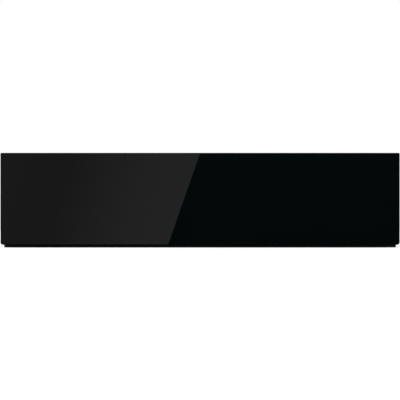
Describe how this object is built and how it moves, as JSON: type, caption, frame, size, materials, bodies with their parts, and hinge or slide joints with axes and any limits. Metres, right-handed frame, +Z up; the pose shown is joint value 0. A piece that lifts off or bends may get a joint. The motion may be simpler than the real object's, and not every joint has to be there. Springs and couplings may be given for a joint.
{
  "type": "built-in warming drawer",
  "caption": "Built-in warming drawer: full-width black glass front without a handle, push to open, heated box on telescopic rails with fan, selector and anti-slip mat.",
  "frame": {"origin": "middle of the footprint, on the plane the feet stand on", "axes": "+X across the front to the right, -Y out of the cabinet towards the user, +Z up"},
  "size_m": [0.595, 0.57, 0.141],
  "materials": {
    "galvanised_steel": "zinc-coated sheet, satin",
    "aluminised_steel": "aluminised sheet, dull",
    "black_frame_paint": "black enamel, satin",
    "mineral_wool": "pressed mineral fibre",
    "foot_rubber": "matt rubber",
    "black_plastic": "moulded, fine grain",
    "rail_zinc": "bright zinc plating",
    "ball_cage_steel": "plain steel strip with polished balls",
    "rivet_steel": "zinc-plated",
    "terminal_nylon": "natural nylon",
    "spring_steel": "blued spring strip",
    "latch_nylon": "grey nylon",
    "front_glass": "black-backed toughened glass, polished",
    "adhesive_bead": "black silicone adhesive",
    "carrier_paint": "dark grey enamel",
    "drawer_stainless": "brushed stainless steel",
    "mat_silicone": "dark grey silicone, studded",
    "heater_sheath": "heat-tinted steel tube",
    "thermostat_case": "phenolic case",
    "dial_print": "black plate with pale markings",
    "lens_plastic": "amber lens",
    "fan_aluminium": "pressed aluminium",
    "motor_steel": "steel laminations and case",
    "knob_plastic": "dark moulding with a pale pointer",
    "spindle_metal": "ground steel"
  },
  "bodies": {
    "housing": {"base_panel": "galvanised_steel", "left_side_panel": "galvanised_steel", "right_side_panel": "galvanised_steel", "top_cover": "galvanised_steel", "rear_panel": "galvanised_steel", "front_frame_top": "black_frame_paint", "front_frame_bottom": "black_frame_paint", "front_frame_left": "black_frame_paint", "front_frame_right": "black_frame_paint", "top_insulation": "mineral_wool", "heat_shield": "aluminised_steel", "housing_feet": "foot_rubber", "rear_spacers": "black_plastic", "left_cabinet_rail": "rail_zinc", "right_cabinet_rail": "rail_zinc", "housing_rivets": "rivet_steel", "terminal_block": "terminal_nylon", "mains_gland": "black_plastic", "ejector_springs": "spring_steel", "push_latch_body": "latch_nylon", "push_latch_jaws": "latch_nylon"},
    "drawer": {"glass_front_panel": "front_glass", "glass_adhesive": "adhesive_bead", "front_carrier": "carrier_paint", "drawer_left_wall": "drawer_stainless", "drawer_right_wall": "drawer_stainless", "drawer_floor": "drawer_stainless", "drawer_inner_front": "drawer_stainless", "drawer_rear_wall": "drawer_stainless", "drawer_back_panel": "aluminised_steel", "anti_slip_mat": "mat_silicone", "heating_element": "heater_sheath", "heater_clips": "heater_sheath", "heater_insulation": "mineral_wool", "drawer_bottom_cover": "aluminised_steel", "safety_thermostat": "thermostat_case", "selector_switch": "black_plastic", "dial_plate": "dial_print", "indicator_lens": "lens_plastic", "left_drawer_rail": "rail_zinc", "right_drawer_rail": "rail_zinc", "drawer_rivets": "rivet_steel", "front_screws": "rivet_steel", "fan_inlet_ring": "fan_aluminium", "fan_motor": "motor_steel", "push_latch_striker": "latch_nylon"},
    "left_middle_member": {"left_middle_rail": "rail_zinc"},
    "right_middle_member": {"right_middle_rail": "rail_zinc"},
    "left_outer_cage": {"left_outer_ball_cage": "ball_cage_steel"},
    "right_outer_cage": {"right_outer_ball_cage": "ball_cage_steel"},
    "left_inner_cage": {"left_inner_ball_cage": "ball_cage_steel"},
    "right_inner_cage": {"right_inner_ball_cage": "ball_cage_steel"},
    "knob": {"selector_knob": "knob_plastic", "selector_spindle": "spindle_metal"},
    "fan_rotor": {"fan_wheel": "fan_aluminium", "fan_shaft": "spindle_metal"}
  },
  "joints": [
    {"name": "drawer_slide", "type": "slide", "parent": "housing", "child": "drawer", "axis": [0, -1, 0], "range_m": [-0.003, 0.42], "deforming": ["ejector_springs", "push_latch_jaws"]},
    {"name": "left_middle_member_slide", "type": "slide", "parent": "housing", "child": "left_middle_member", "axis": [0, -1, 0], "range_m": [-0.0015, 0.21]},
    {"name": "left_outer_cage_slide", "type": "slide", "parent": "housing", "child": "left_outer_cage", "axis": [0, -1, 0], "range_m": [-0.00075, 0.105]},
    {"name": "left_inner_cage_slide", "type": "slide", "parent": "housing", "child": "left_inner_cage", "axis": [0, -1, 0], "range_m": [-0.00225, 0.315]},
    {"name": "right_middle_member_slide", "type": "slide", "parent": "housing", "child": "right_middle_member", "axis": [0, -1, 0], "range_m": [-0.0015, 0.21]},
    {"name": "right_outer_cage_slide", "type": "slide", "parent": "housing", "child": "right_outer_cage", "axis": [0, -1, 0], "range_m": [-0.00075, 0.105]},
    {"name": "right_inner_cage_slide", "type": "slide", "parent": "housing", "child": "right_inner_cage", "axis": [0, -1, 0], "range_m": [-0.00225, 0.315]},
    {"name": "selector_turn", "type": "hinge", "parent": "drawer", "child": "knob", "pos_m": [0.2, -0.2328, 0.08], "axis": [0, -1, 0], "range_deg": [0, 240]},
    {"name": "fan_spin", "type": "hinge", "parent": "drawer", "child": "fan_rotor", "pos_m": [0, 0.208, 0.067], "axis": [0, 1, 0], "continuous": true}
  ],
  "couplings": [
    {"joint": "left_middle_member_slide", "follows": "drawer_slide", "ratio": 0.5},
    {"joint": "left_outer_cage_slide", "follows": "drawer_slide", "ratio": 0.25},
    {"joint": "left_inner_cage_slide", "follows": "drawer_slide", "ratio": 0.75},
    {"joint": "right_middle_member_slide", "follows": "drawer_slide", "ratio": 0.5},
    {"joint": "right_outer_cage_slide", "follows": "drawer_slide", "ratio": 0.25},
    {"joint": "right_inner_cage_slide", "follows": "drawer_slide", "ratio": 0.75}
  ]
}
